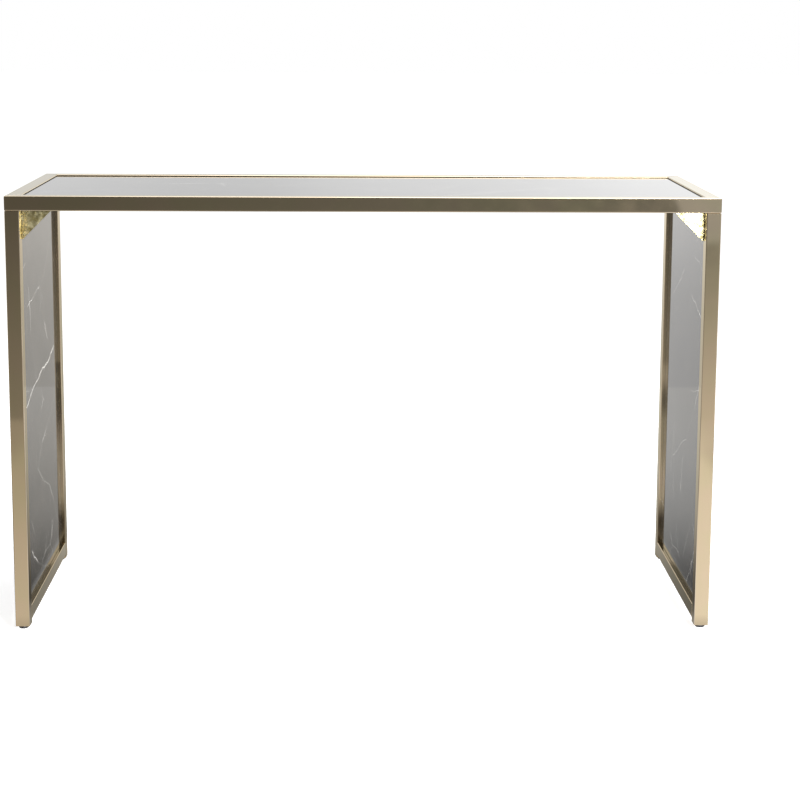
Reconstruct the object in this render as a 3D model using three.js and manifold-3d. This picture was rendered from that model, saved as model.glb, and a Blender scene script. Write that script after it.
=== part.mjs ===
// Console table: square-tube metal frame, a stone top set into it, and a stone panel in each end.
// Millimetres, +X to the right, +Y to the back, +Z up. The origin is on the floor, under the centre.

import * as THREE from 'three';
import Module from 'manifold-3d';
import { mergeVertices } from 'three/addons/utils/BufferGeometryUtils.js';

const wasm = await Module();
wasm.setup();

// Driving dimensions
const tableWidth = 1219.2; // 48 inches
const tableDepth = 457.2; // 18 inches
const tableHeight = 762; // 30 inches, with the glides
const tubeSize = 25.4; // 1 inch square tube
const tubeWall = 1.5;
const tubeCorner = 1.6; // outer edge radius of the tube
const gap = 0.3; // weld root or fitting gap between neighbours
const legSeam = 0.5; // joint between the top frame and a leg
const miterGap = 0.25; // taken off each end of a mitred rail

const topThickness = 12;
const topRecess = 2.5; // from the top of the frame down to the stone
const sealWidth = 1.6; // sealant joint round the stone top
const ledgeWidth = 20;
const ledgeThickness = 3;
const crossbarWidth = 30;
const crossbarSpacing = 420; // between the two bars' centres

const panelThickness = 12;
const tongueThickness = 3; // flat bars welded to the frame, which run in the panel's grooves
const tongueHeight = 5; // how far they stand off the tube
const cushionHeight = 3.5;
const cushionInset = 0.5; // from each face of the panel

const bracketLeg = { front: 50, back: 44 }; // length along the leg and along the rail
const bracketNose = 1.5; // blunt tip of each pointed end
const bracketThickness = 3.5;
const bracketFlange = 20;
const boltOffset = 28; // from the leg's inner face
const boltRadius = 3; // M6
const boltHoleRadius = 3.3;
const boltLength = 12;
const boltHeadHeight = 4;
const boltHeadRadius = 5.8; // across corners
const nutHeight = 5;
const nutRadius = 5.8; // across corners
const nutPocketRadius = 7;
const nutPocketDepth = 7;

const padHeight = 5.6;
const padRadius = 8.5;
const padTopRadius = 7.2;
const padChamfer = 1.2;
const stemRadius = 4; // M8
const stemSocketDepth = 3;
const stemLength = 31;
const stemChamfer = 1;
const plugHeight = 18;
const plugClearance = 0.3;
const stemClearance = 0.3;
const railClearance = 6; // from a leg's lower end to the bottom rail's underside

// Worked out from the driving dimensions
const frameBottom = tableHeight - tubeSize;
const topBottom = tableHeight - topRecess - topThickness;
const boardBottom = frameBottom + ledgeThickness + gap;
const boardThickness = topBottom - gap - boardBottom;
const innerWidth = tableWidth - 2 * tubeSize;
const innerDepth = tableDepth - 2 * tubeSize;
const legX = (tableWidth - tubeSize) / 2;
const legY = (tableDepth - tubeSize) / 2;
const legBottom = padHeight + gap;
const legTop = frameBottom - legSeam;
const bottomRailBottom = legBottom + railClearance;
const bottomRailTop = bottomRailBottom + tubeSize;
const sides = { left: -1, right: 1 };
const ends = { front: -1, back: 1 };

const champagneSteel = new THREE.MeshStandardMaterial({ color: '#c9b78f', roughness: 0.16, metalness: 1 });
const blackStone = new THREE.MeshStandardMaterial({ color: '#2b2a2c', roughness: 0.12, metalness: 0 });
const boardWood = new THREE.MeshStandardMaterial({ color: '#8f6f4d', roughness: 0.8, metalness: 0 });
const blackRubber = new THREE.MeshStandardMaterial({ color: '#1b1b1c', roughness: 0.9, metalness: 0 });
const blackPlastic = new THREE.MeshStandardMaterial({ color: '#141414', roughness: 0.5, metalness: 0 });
const zincSteel = new THREE.MeshStandardMaterial({ color: '#b6b8ba', roughness: 0.35, metalness: 1 });

function toManifold(geometry) {
  const bare = geometry.clone();
  bare.deleteAttribute('normal');
  bare.deleteAttribute('uv');
  const merged = mergeVertices(bare);
  return new wasm.Manifold(new wasm.Mesh({
    numProp: 3,
    vertProperties: merged.attributes.position.array,
    triVerts: Uint32Array.from(merged.index.array),
  }));
}

function toGeometry(manifold) {
  const mesh = manifold.getMesh();
  const geometry = new THREE.BufferGeometry();
  geometry.setAttribute('position', new THREE.BufferAttribute(mesh.vertProperties, 3));
  geometry.setIndex(new THREE.BufferAttribute(mesh.triVerts, 1));
  return geometry;
}

function cut(geometry, ...tools) {
  return toGeometry(tools.reduce((body, tool) => body.subtract(toManifold(tool)), toManifold(geometry)));
}

function join(...geometries) {
  return toGeometry(geometries.map(toManifold).reduce((body, next) => body.add(next)));
}

// Cylinder or prism standing on z = bottom
function upright(radius, bottom, top, sections = 24) {
  const geometry = new THREE.CylinderGeometry(radius, radius, top - bottom, sections);
  geometry.rotateX(Math.PI / 2);
  return geometry.translate(0, 0, (bottom + top) / 2);
}

// Turned shape: a closed outline of [radius, z] points, turned about Z
function turned(outline, sections = 24) {
  const points = outline.map(([radius, z]) => new THREE.Vector2(radius, z));
  return new THREE.LatheGeometry(points, sections).rotateX(Math.PI / 2);
}

function roundedSquare(path, size, radius) {
  const half = size / 2;
  const straight = half - radius;
  path.moveTo(half, straight);
  path.absarc(straight, straight, radius, 0, Math.PI / 2);
  path.absarc(-straight, straight, radius, Math.PI / 2, Math.PI);
  path.absarc(-straight, -straight, radius, Math.PI, 1.5 * Math.PI);
  path.absarc(straight, -straight, radius, 1.5 * Math.PI, 2 * Math.PI);
  return path;
}

// Square tube along Z, centred on the origin
function squareTube(length) {
  const section = roundedSquare(new THREE.Shape(), tubeSize, tubeCorner);
  section.holes.push(roundedSquare(new THREE.Path(), tubeSize - 2 * tubeWall, tubeCorner / 2));
  const geometry = new THREE.ExtrudeGeometry(section, { depth: length, bevelEnabled: false, curveSegments: 3 });
  return geometry.translate(0, 0, -length / 2);
}

// Square tube along X with both ends cut at 45 degrees, its long side on -Y
function miteredTube(length) {
  const outer = length / 2 - miterGap;
  const inner = outer - tubeSize;
  const trapezoid = new THREE.Shape([
    new THREE.Vector2(-outer, -tubeSize / 2),
    new THREE.Vector2(outer, -tubeSize / 2),
    new THREE.Vector2(inner, tubeSize / 2),
    new THREE.Vector2(-inner, tubeSize / 2),
  ]);
  const keep = new THREE.ExtrudeGeometry(trapezoid, { depth: 2 * tubeSize, bevelEnabled: false });
  keep.translate(0, 0, -tubeSize);
  const tube = squareTube(length).rotateY(Math.PI / 2);
  return toGeometry(toManifold(tube).intersect(toManifold(keep)));
}

const table = new THREE.Group();

function addPiece(parent, name, geometry, material, x = 0, y = 0, z = 0, turnZ = 0) {
  const mesh = new THREE.Mesh(geometry, material);
  mesh.name = name;
  mesh.position.set(x, y, z);
  mesh.rotation.z = turnZ;
  parent.add(mesh);
}

function addTopFrame() {
  const frame = new THREE.Group();
  frame.position.z = tableHeight - tubeSize / 2;
  const long = miteredTube(tableWidth);
  const short = miteredTube(tableDepth);
  addPiece(frame, 'top_front_rail', long, champagneSteel, 0, -legY, 0);
  addPiece(frame, 'top_back_rail', long, champagneSteel, 0, legY, 0, Math.PI);
  addPiece(frame, 'top_left_rail', short, champagneSteel, -legX, 0, 0, -Math.PI / 2);
  addPiece(frame, 'top_right_rail', short, champagneSteel, legX, 0, 0, Math.PI / 2);
  table.add(frame);
}

// Places of the four bracket bolts, as [x, y]
function boltPlaces() {
  const x = innerWidth / 2 - boltOffset;
  const y = innerDepth / 2 - bracketFlange / 2;
  return [[-x, -y], [x, -y], [-x, y], [x, y]];
}

function addTopPanel() {
  const openingX = innerWidth - 2 * gap;
  const openingY = innerDepth - 2 * gap;
  const panel = new THREE.BoxGeometry(innerWidth - 2 * sealWidth, innerDepth - 2 * sealWidth, topThickness);
  addPiece(table, 'top_stone_panel', panel, blackStone, 0, 0, topBottom + topThickness / 2);

  const board = new THREE.BoxGeometry(openingX, openingY, boardThickness);
  board.translate(0, 0, boardThickness / 2);
  const pockets = boltPlaces().map(([x, y]) => upright(nutPocketRadius, -1, nutPocketDepth).translate(x, y, 0));
  addPiece(table, 'top_backing_board', cut(board, ...pockets), boardWood, 0, 0, boardBottom);
}

function addTopSupports() {
  const supports = new THREE.Group();
  supports.position.z = frameBottom + ledgeThickness / 2;
  const long = innerWidth - 2 * gap;
  const short = innerDepth - 2 * (ledgeWidth + 2 * gap);
  const boltX = innerWidth / 2 - boltOffset;
  const ledgeY = innerDepth / 2 - gap - ledgeWidth / 2;
  const ledgeX = innerWidth / 2 - gap - ledgeWidth / 2;
  const boltY = innerDepth / 2 - bracketFlange / 2;
  for (const [end, sy] of Object.entries(ends)) {
    const ledge = new THREE.BoxGeometry(long, ledgeWidth, ledgeThickness);
    const holes = [-boltX, boltX].map((x) => (
      upright(boltHoleRadius, -ledgeThickness, ledgeThickness).translate(x, sy * (boltY - ledgeY), 0)
    ));
    addPiece(supports, `top_ledge_${end}`, cut(ledge, ...holes), champagneSteel, 0, sy * ledgeY);
  }
  for (const [side, sx] of Object.entries(sides)) {
    const ledge = new THREE.BoxGeometry(ledgeWidth, short, ledgeThickness);
    addPiece(supports, `top_ledge_${side}`, ledge, champagneSteel, sx * ledgeX);
    const bar = new THREE.BoxGeometry(crossbarWidth, short, ledgeThickness);
    addPiece(supports, `top_crossbar_${side}`, bar, champagneSteel, sx * crossbarSpacing / 2);
  }
  table.add(supports);
}

function addLegs() {
  const leg = squareTube(legTop - legBottom);
  const plugSize = tubeSize - 2 * tubeWall - 2 * plugClearance;
  const plug = cut(
    new THREE.BoxGeometry(plugSize, plugSize, plugHeight),
    upright(stemRadius + stemClearance, -plugHeight, plugHeight),
  );
  for (const [end, sy] of Object.entries(ends)) {
    for (const [side, sx] of Object.entries(sides)) {
      const place = [sx * legX, sy * legY];
      addPiece(table, `leg_${end}_${side}`, leg, champagneSteel, ...place, (legTop + legBottom) / 2);
      addPiece(table, `leg_plug_${end}_${side}`, plug, blackPlastic, ...place, legBottom + plugHeight / 2);
    }
  }
}

function addGlides() {
  const socketRadius = stemRadius + stemClearance;
  const socketFloor = padHeight - stemSocketDepth;
  const pad = turned([
    [0, 0],
    [padTopRadius, 0],
    [padRadius, padChamfer],
    [padRadius, padHeight - padChamfer],
    [padTopRadius, padHeight],
    [socketRadius, padHeight],
    [socketRadius, socketFloor],
    [0, socketFloor],
  ]);
  const stemBottom = socketFloor + gap;
  const stemTop = stemBottom + stemLength;
  const stem = turned([
    [0, stemBottom],
    [stemRadius, stemBottom],
    [stemRadius, stemTop - stemChamfer],
    [stemRadius - stemChamfer, stemTop],
    [0, stemTop],
  ]);
  for (const [end, sy] of Object.entries(ends)) {
    for (const [side, sx] of Object.entries(sides)) {
      addPiece(table, `glide_pad_${end}_${side}`, pad, blackPlastic, sx * legX, sy * legY);
      addPiece(table, `glide_stem_${end}_${side}`, stem, zincSteel, sx * legX, sy * legY);
    }
  }
}

function addBottomRails() {
  const rail = squareTube(innerDepth - 2 * gap).rotateX(Math.PI / 2);
  for (const [side, sx] of Object.entries(sides)) {
    addPiece(table, `bottom_rail_${side}`, rail, champagneSteel, sx * legX, 0, bottomRailBottom + tubeSize / 2);
  }
}

function addSidePanels() {
  const tongueBottom = bottomRailTop + gap;
  const sideTongueBottom = tongueBottom + tongueHeight + gap;
  const panelBottom = bottomRailTop + gap;
  const panelTop = frameBottom - 2 * gap - cushionHeight;
  const panelDepth = innerDepth - 2 * gap;
  const panelHeight = panelTop - panelBottom;
  const grooveWidth = tongueThickness + 2 * gap;
  const sideGroove = tongueHeight + gap;
  const bottomGroove = tongueHeight + gap;
  const past = 2 * gap; // how far a cutting tool runs past a face
  const panel = cut(
    new THREE.BoxGeometry(panelThickness, panelDepth, panelHeight),
    new THREE.BoxGeometry(grooveWidth, 2 * sideGroove, panelHeight + past).translate(0, -panelDepth / 2, 0),
    new THREE.BoxGeometry(grooveWidth, 2 * sideGroove, panelHeight + past).translate(0, panelDepth / 2, 0),
    new THREE.BoxGeometry(grooveWidth, panelDepth + past, 2 * bottomGroove).translate(0, 0, -panelHeight / 2),
  );
  const cushion = new THREE.BoxGeometry(panelThickness - 2 * cushionInset, panelDepth, cushionHeight);
  const sideTongue = new THREE.BoxGeometry(tongueThickness, tongueHeight, panelTop - sideTongueBottom);
  const bottomTongue = new THREE.BoxGeometry(tongueThickness, panelDepth, tongueHeight);
  for (const [side, sx] of Object.entries(sides)) {
    const end = new THREE.Group();
    end.position.x = sx * legX;
    addPiece(end, `side_stone_panel_${side}`, panel, blackStone, 0, 0, (panelTop + panelBottom) / 2);
    addPiece(end, `panel_cushion_${side}`, cushion, blackRubber, 0, 0, panelTop + gap + cushionHeight / 2);
    const tongueZ = tongueBottom + tongueHeight / 2;
    addPiece(end, `panel_tongue_bottom_${side}`, bottomTongue, champagneSteel, 0, 0, tongueZ);
    for (const [place, sy] of Object.entries(ends)) {
      const y = sy * (innerDepth / 2 - gap - tongueHeight / 2);
      const z = (sideTongueBottom + panelTop) / 2;
      addPiece(end, `panel_tongue_${place}_${side}`, sideTongue, champagneSteel, 0, y, z);
    }
    table.add(end);
  }
}

// Corner bracket: a triangular web in the plane of the frame and a flange along its top edge.
// Its local origin is where the leg's inner face, the top frame's underside and the web's
// outer face meet.
function cornerBracket(sx, sy, length) {
  const tip = length - bracketNose;
  const outline = new THREE.Shape([
    new THREE.Vector2(0, 0),
    new THREE.Vector2(-sx * length, 0),
    new THREE.Vector2(-sx * length, -bracketNose),
    new THREE.Vector2(-sx * bracketNose, -length),
    new THREE.Vector2(0, -length),
  ]);
  const web = new THREE.ExtrudeGeometry(outline, { depth: bracketThickness, bevelEnabled: false });
  web.rotateX(Math.PI / 2).translate(0, sy < 0 ? bracketThickness : 0, 0);
  const flange = new THREE.BoxGeometry(tip, bracketThickness + bracketFlange, bracketThickness);
  flange.translate(-sx * tip / 2, -sy * (bracketThickness + bracketFlange) / 2, -bracketThickness / 2);
  const hole = upright(boltHoleRadius, -2 * bracketThickness, bracketThickness);
  hole.translate(-sx * (boltOffset - gap), -sy * (bracketThickness + bracketFlange / 2), 0);
  return cut(join(web, flange), hole);
}

function addBrackets() {
  const flangeBottom = frameBottom - gap - bracketThickness;
  const headTop = flangeBottom - gap;
  const bolt = join(
    upright(boltHeadRadius, headTop - boltHeadHeight, headTop, 6),
    upright(boltRadius, headTop - boltHeadHeight / 2, headTop + boltLength),
  );
  const nutBottom = frameBottom + ledgeThickness + gap;
  const nut = cut(
    upright(nutRadius, nutBottom, nutBottom + nutHeight, 6),
    upright(boltHoleRadius, nutBottom - nutHeight, nutBottom + 2 * nutHeight),
  );
  for (const [end, sy] of Object.entries(ends)) {
    for (const [side, sx] of Object.entries(sides)) {
      const x = sx * (innerWidth / 2 - gap);
      const y = sy * (innerDepth / 2 + bracketThickness);
      const bracket = cornerBracket(sx, sy, bracketLeg[end]);
      addPiece(table, `corner_bracket_${end}_${side}`, bracket, champagneSteel, x, y, frameBottom - gap);
      const boltX = sx * (innerWidth / 2 - boltOffset);
      const boltY = sy * (innerDepth / 2 - bracketFlange / 2);
      addPiece(table, `bracket_bolt_${end}_${side}`, bolt, zincSteel, boltX, boltY);
      addPiece(table, `weld_nut_${end}_${side}`, nut, zincSteel, boltX, boltY);
    }
  }
}

addTopFrame();
addTopPanel();
addTopSupports();
addLegs();
addBottomRails();
addSidePanels();
addBrackets();
addGlides();

export default table;
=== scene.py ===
import math

import bmesh
import bpy
from mathutils import Matrix, Vector


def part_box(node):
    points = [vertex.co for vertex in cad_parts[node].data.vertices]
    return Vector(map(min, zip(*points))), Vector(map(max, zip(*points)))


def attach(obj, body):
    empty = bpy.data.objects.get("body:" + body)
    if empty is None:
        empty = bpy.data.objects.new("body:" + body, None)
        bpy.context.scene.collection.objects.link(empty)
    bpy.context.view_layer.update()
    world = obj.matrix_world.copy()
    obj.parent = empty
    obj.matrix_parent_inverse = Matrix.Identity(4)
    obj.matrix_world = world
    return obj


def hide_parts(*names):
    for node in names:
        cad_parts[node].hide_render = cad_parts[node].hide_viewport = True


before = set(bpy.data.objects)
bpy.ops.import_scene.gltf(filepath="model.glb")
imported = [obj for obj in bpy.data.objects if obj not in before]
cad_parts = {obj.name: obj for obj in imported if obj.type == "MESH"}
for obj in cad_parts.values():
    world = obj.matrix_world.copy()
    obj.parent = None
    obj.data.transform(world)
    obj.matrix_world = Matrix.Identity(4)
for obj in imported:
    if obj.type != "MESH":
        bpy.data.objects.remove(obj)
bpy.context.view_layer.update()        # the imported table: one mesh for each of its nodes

mm = 0.001
corners = [(end, side) for end in ("front", "back") for side in ("left", "right")]
sideSign = {"left": -1, "right": 1}
endSign = {"front": -1, "back": 1}
print("frame loaded:", len(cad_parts), "nodes")


def hexColor(code):
    # sRGB hex to the linear values that Blender's sockets take
    parts = [int(code[i:i + 2], 16) / 255 for i in (1, 3, 5)]
    linear = [c / 12.92 if c <= 0.04045 else ((c + 0.055) / 1.055) ** 2.4 for c in parts]
    return (*linear, 1.0)


fromEnds = ("From Min", "From Max")
toEnds = ("To Min", "To Max")


def setInputs(tree, node, inputs):
    # socket name or number, and a value, another node's output or a list of outputs; or a tuple
    # of names, and as many of these
    for key, value in inputs.items():
        if isinstance(key, tuple):
            setInputs(tree, node, dict(zip(key, value)))
            continue
        for source in value if isinstance(value, list) else [value]:
            if isinstance(source, bpy.types.NodeSocket):
                tree.links.new(source, node.inputs[key])
            else:
                node.inputs[key].default_value = source


def addNode(tree, kind, inputs=None, **settings):
    node = tree.nodes.new(kind)
    for name, value in settings.items():
        setattr(node, name, value)
    setInputs(tree, node, inputs or {})
    return node


def fillRamp(node, ends, colors):
    # where the two ends of a colour ramp stand, and their colours in hex
    for element, position, color in zip(node.color_ramp.elements, ends, colors):
        element.position = position
        element.color = hexColor(color)


def fillCurve(node, points):
    # a curve node starts with two points; the others go between them
    curve = node.mapping.curves[0]
    curve.points[0].location = points[0]
    curve.points[1].location = points[-1]
    for spot in points[1:-1]:
        curve.points.new(*spot)
    node.mapping.update()


def newMaterial(name, shaderKind="ShaderNodeBsdfPrincipled"):
    material = bpy.data.materials.new(name)
    material.use_nodes = True
    tree = material.node_tree
    tree.nodes.clear()
    shader = addNode(tree, shaderKind)
    addNode(tree, "ShaderNodeOutputMaterial", {0: shader.outputs[0]})
    return material, tree, shader


def newObject(name, data):
    made = bpy.data.objects.new(name, data)
    bpy.context.scene.collection.objects.link(made)
    return made


def addPiece(name, mesh, material, body, nodes=(), modifiers=()):
    piece = newObject(name, mesh)
    if material is not None:
        mesh.materials.clear()
        mesh.materials.append(material)
    for kind, settings in modifiers:
        modifier = piece.modifiers.new(kind.title(), kind)
        for key, value in settings.items():
            setattr(modifier, key, value)
    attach(piece, body)
    if nodes:
        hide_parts(*nodes)
    return piece


def toMesh(bm, name, smoothAngle=35):
    bmesh.ops.recalc_face_normals(bm, faces=bm.faces)
    mesh = bpy.data.meshes.new(name)
    bm.to_mesh(mesh)
    bm.free()
    mesh.shade_smooth()
    mesh.set_sharp_from_angle(angle=math.radians(smoothAngle))
    return mesh


def joinRings(bm, pairs):
    # faces between the two rings of each pair; a ring of one point closes a cap
    for first, second in pairs:
        count = max(len(first), len(second))
        for i in range(count):
            j = (i + 1) % count
            around = [first[i % len(first)], first[j % len(first)],
                      second[j % len(second)], second[i % len(second)]]
            bm.faces.new(list(dict.fromkeys(around)))


def softEdges(width, segments=2, angle=40):
    # a small round on every hard edge, and normals that keep the flats flat
    return (
        ("BEVEL", {"width": width, "segments": segments, "limit_method": "ANGLE",
                   "angle_limit": math.radians(angle), "use_clamp_overlap": True}),
        ("WEIGHTED_NORMAL", {"keep_sharp": True, "weight": 100}),
    )


def champagnePlating(name, look):
    # PVD-plated, mirror-polished stainless steel: clear reflections tinted warm gold, with slow
    # changes of tint, slightly duller smudges, a painted highlight on the tubes' round corners and the
    # faint waviness of drawn tube
    material, tree, shader = newMaterial(name)
    place = addNode(tree, "ShaderNodeTexCoord").outputs["Object"]
    patches = addNode(tree, "ShaderNodeTexNoise", {
        "Vector": place, "Scale": 1 / look["patch"], "Detail": 2})
    tint = addNode(tree, "ShaderNodeValToRGB", {"Fac": patches.outputs["Fac"]})
    fillRamp(tint, look["tintEnds"], (look["warm"], look["cool"]))
    # painted highlight: a lighter tint on the tubes' round corners, strongest mid-arc
    cornerHighlight = addNode(tree, "ShaderNodeAttribute", attribute_name="cornerHighlight")
    cornerHighlightTint = addNode(tree, "ShaderNodeMix", {
        "Factor": cornerHighlight.outputs["Fac"], "A": tint.outputs["Color"],
        "B": hexColor(look["cornerHighlightTint"])}, data_type="RGBA")
    smudge = addNode(tree, "ShaderNodeTexNoise", {
        "Vector": place, "Scale": 1 / look["smudge"], "Detail": 4, "Roughness": 0.6})
    gloss = addNode(tree, "ShaderNodeMapRange", {
        "Value": smudge.outputs["Fac"], fromEnds: look["smudgeEnds"], toEnds: look["roughness"]})
    wave = addNode(tree, "ShaderNodeTexNoise", {
        "Vector": place, "Scale": 1 / look["waveLength"], "Detail": 0})
    bump = addNode(tree, "ShaderNodeBump", {
        "Height": wave.outputs["Fac"], "Distance": look["waveHeight"], "Strength": 1.0})
    setInputs(tree, shader, {
        "Base Color": cornerHighlightTint.outputs["Result"], "Roughness": gloss.outputs["Result"],
        "Normal": bump.outputs["Normal"], "Metallic": 1.0,
        "Specular Tint": hexColor(look["grazing"])})
    return material


platingLook = {
    "warm": "#e8cfaa",
    "cool": "#e4d0a6",
    "cornerHighlightTint": "#efdcbf",             # painted highlight: a lighter tint on the tubes' round corners
    "grazing": "#d9dbd8",
    "patch": 70 * mm,
    "tintEnds": (0.35, 0.65),
    "smudge": 30 * mm,
    "smudgeEnds": (0.35, 0.7),
    "roughness": (0.035, 0.06),
    "waveLength": 55 * mm,
    "waveHeight": 0.05 * mm,
}
champagne = champagnePlating("champagne plated steel, mirror polished", platingLook)

# the brackets are cast and left rough under the same plating, so they look mottled and dull
hammeredLook = {
    **platingLook,
    "warm": "#8f8459",
    "cool": "#c4bb93",
    "patch": 6 * mm,
    "roughness": (0.26, 0.34),
    "waveLength": 7 * mm,
    "waveHeight": 0.7 * mm,
}
hammered = champagnePlating("champagne plated steel, cast and unpolished", hammeredLook)


stoneLook = {
    "dark": "#1a1918",
    "light": "#35322f",
    "groundEnds": (0.42, 0.8),
    "cloud": 85 * mm,
    "cloudShare": 0.8,
    "grain": 1.6 * mm,
    "grainShare": 0.35,
    "vein": "#d8d6d1",
    "warp": ((140 * mm, 34 * mm), (32 * mm, 9 * mm), (7 * mm, 1.6 * mm)),   # size and push
    "breakUp": 26 * mm,              # how soon a vein grows thick or thin along its length
    "breakUpEnds": (0.3, 0.7),
    "thickness": (0.35, 1.3),        # times a vein's width
    "core": 0.15,                    # share of a vein's width at full strength
    "halo": (4.5, 0.1),              # the faint halo's width and strength, times the vein's
    "cell": 210 * mm,                # spacing of the fine net of veins
    "netWidth": 0.5 * mm,
    "netStrength": 0.75,
    "netPatch": 120 * mm,            # size of the areas that have the net or lack it
    "netShare": (0.5, 0.64),
    "haze": 45 * mm,
    "hazeEnds": (0.35, 0.7),
    "roughness": (0.03, 0.06),
    "veinRoughness": 0.05,           # added on the veins
    "seed": {"top": 0.0, "left": 3.1, "right": 7.4},
}


def segmentDistance(tree, place, start, end):
    # distance from place to the straight line between two points
    run = Vector(end) - Vector(start)
    kind = "ShaderNodeVectorMath"
    offset = addNode(tree, kind, {0: place, 1: start}, operation="SUBTRACT").outputs["Vector"]
    along = addNode(tree, kind, {0: offset, 1: run / run.length_squared}, operation="DOT_PRODUCT")
    share = addNode(tree, "ShaderNodeClamp", {"Value": along.outputs["Value"]}).outputs["Result"]
    reached = addNode(tree, kind, {0: run, "Scale": share}, operation="SCALE").outputs["Vector"]
    return addNode(tree, kind, {0: offset, 1: reached}, operation="DISTANCE").outputs["Value"]


def veinMark(tree, place, vein, thickness):
    # 1 on the vein, falling to 0 at its edges, with a faint halo
    start, end, width, strength = vein
    distance = addNode(tree, "ShaderNodeMath", {
        0: segmentDistance(tree, place, start, end), 1: thickness}, operation="DIVIDE").outputs[0]
    haloWidth, haloStrength = stoneLook["halo"]
    core = addNode(tree, "ShaderNodeMapRange", {
        "Value": distance, fromEnds: (stoneLook["core"] * width, width),
        toEnds: (strength, 0.0)}).outputs["Result"]
    halo = addNode(tree, "ShaderNodeMapRange", {
        "Value": distance, fromEnds: (0.0, haloWidth * width),
        toEnds: (haloStrength * strength, 0.0)}).outputs["Result"]
    return addNode(tree, "ShaderNodeMath", {0: core, 1: halo}, operation="MAXIMUM").outputs[0]

# the bolder veins of each slab: start and end in millimetres (x and y on the top, y and z on the
# sides), width in millimetres, strength
boldVeins = {
    "top": (
        (-352, 48, -286, 54, 1.4, 0.9),
        (-286, 54, -120, 10, 0.8, 0.6),
        (-120, 10, 40, -70, 0.5, 0.35),
        (-352, 48, -480, 120, 0.6, 0.4),
        (120, -190, 330, -20, 1.0, 0.7),
        (330, -20, 520, 60, 0.7, 0.5),
        (330, -20, 290, 140, 0.5, 0.35),
        (-560, -120, -430, -60, 0.9, 0.6),
        (-430, -60, -280, -160, 0.5, 0.35),
    ),
    "left": (
        (152, 436, -40, 408, 1.6, 1.0),
        (-40, 408, -182, 382, 1.2, 0.9),
        (-112, 590, -98, 505, 1.0, 0.7),
        (-98, 505, -50, 410, 0.5, 0.3),
        (52, 500, 76, 470, 1.0, 0.7),
        (52, 500, 10, 620, 0.5, 0.3),
        (-150, 120, -96, 84, 1.1, 0.7),
        (-96, 84, 20, 40, 0.5, 0.3),
        (60, 190, 110, 150, 0.8, 0.55),
        (110, 150, 190, 70, 0.5, 0.3),
        (-60, 250, 10, 205, 0.7, 0.5),
        (10, 205, 60, 190, 0.5, 0.35),
        (42, 296, -12, 282, 0.9, 0.7),
        (-12, 282, -60, 250, 0.5, 0.35),
        (42, 296, 150, 340, 0.5, 0.3),
        (86, 115, 78, 85, 0.9, 0.7),
        (60, 190, 86, 115, 0.4, 0.3),
        (130, 650, 60, 585, 0.6, 0.4),
    ),
    "right": (
        (-176, 430, -140, 382, 1.2, 0.8),
        (-140, 382, -60, 300, 0.5, 0.35),
        (-60, 300, 90, 240, 0.8, 0.6),
        (-205, 540, -176, 430, 0.5, 0.35),
        (-168, 120, -130, 72, 1.2, 0.8),
        (-200, 66, -178, 54, 1.0, 0.7),
        (20, 610, 130, 540, 0.9, 0.6),
        (130, 540, 195, 430, 0.6, 0.4),
        (-30, 255, -16, 195, 1.0, 0.7),
        (-16, 195, 40, 90, 0.5, 0.3),
        (-152, 162, -158, 138, 1.0, 0.7),
        (-60, 300, -152, 162, 0.4, 0.3),
        (-150, 104, -98, 42, 0.9, 0.6),
    ),
}


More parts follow.
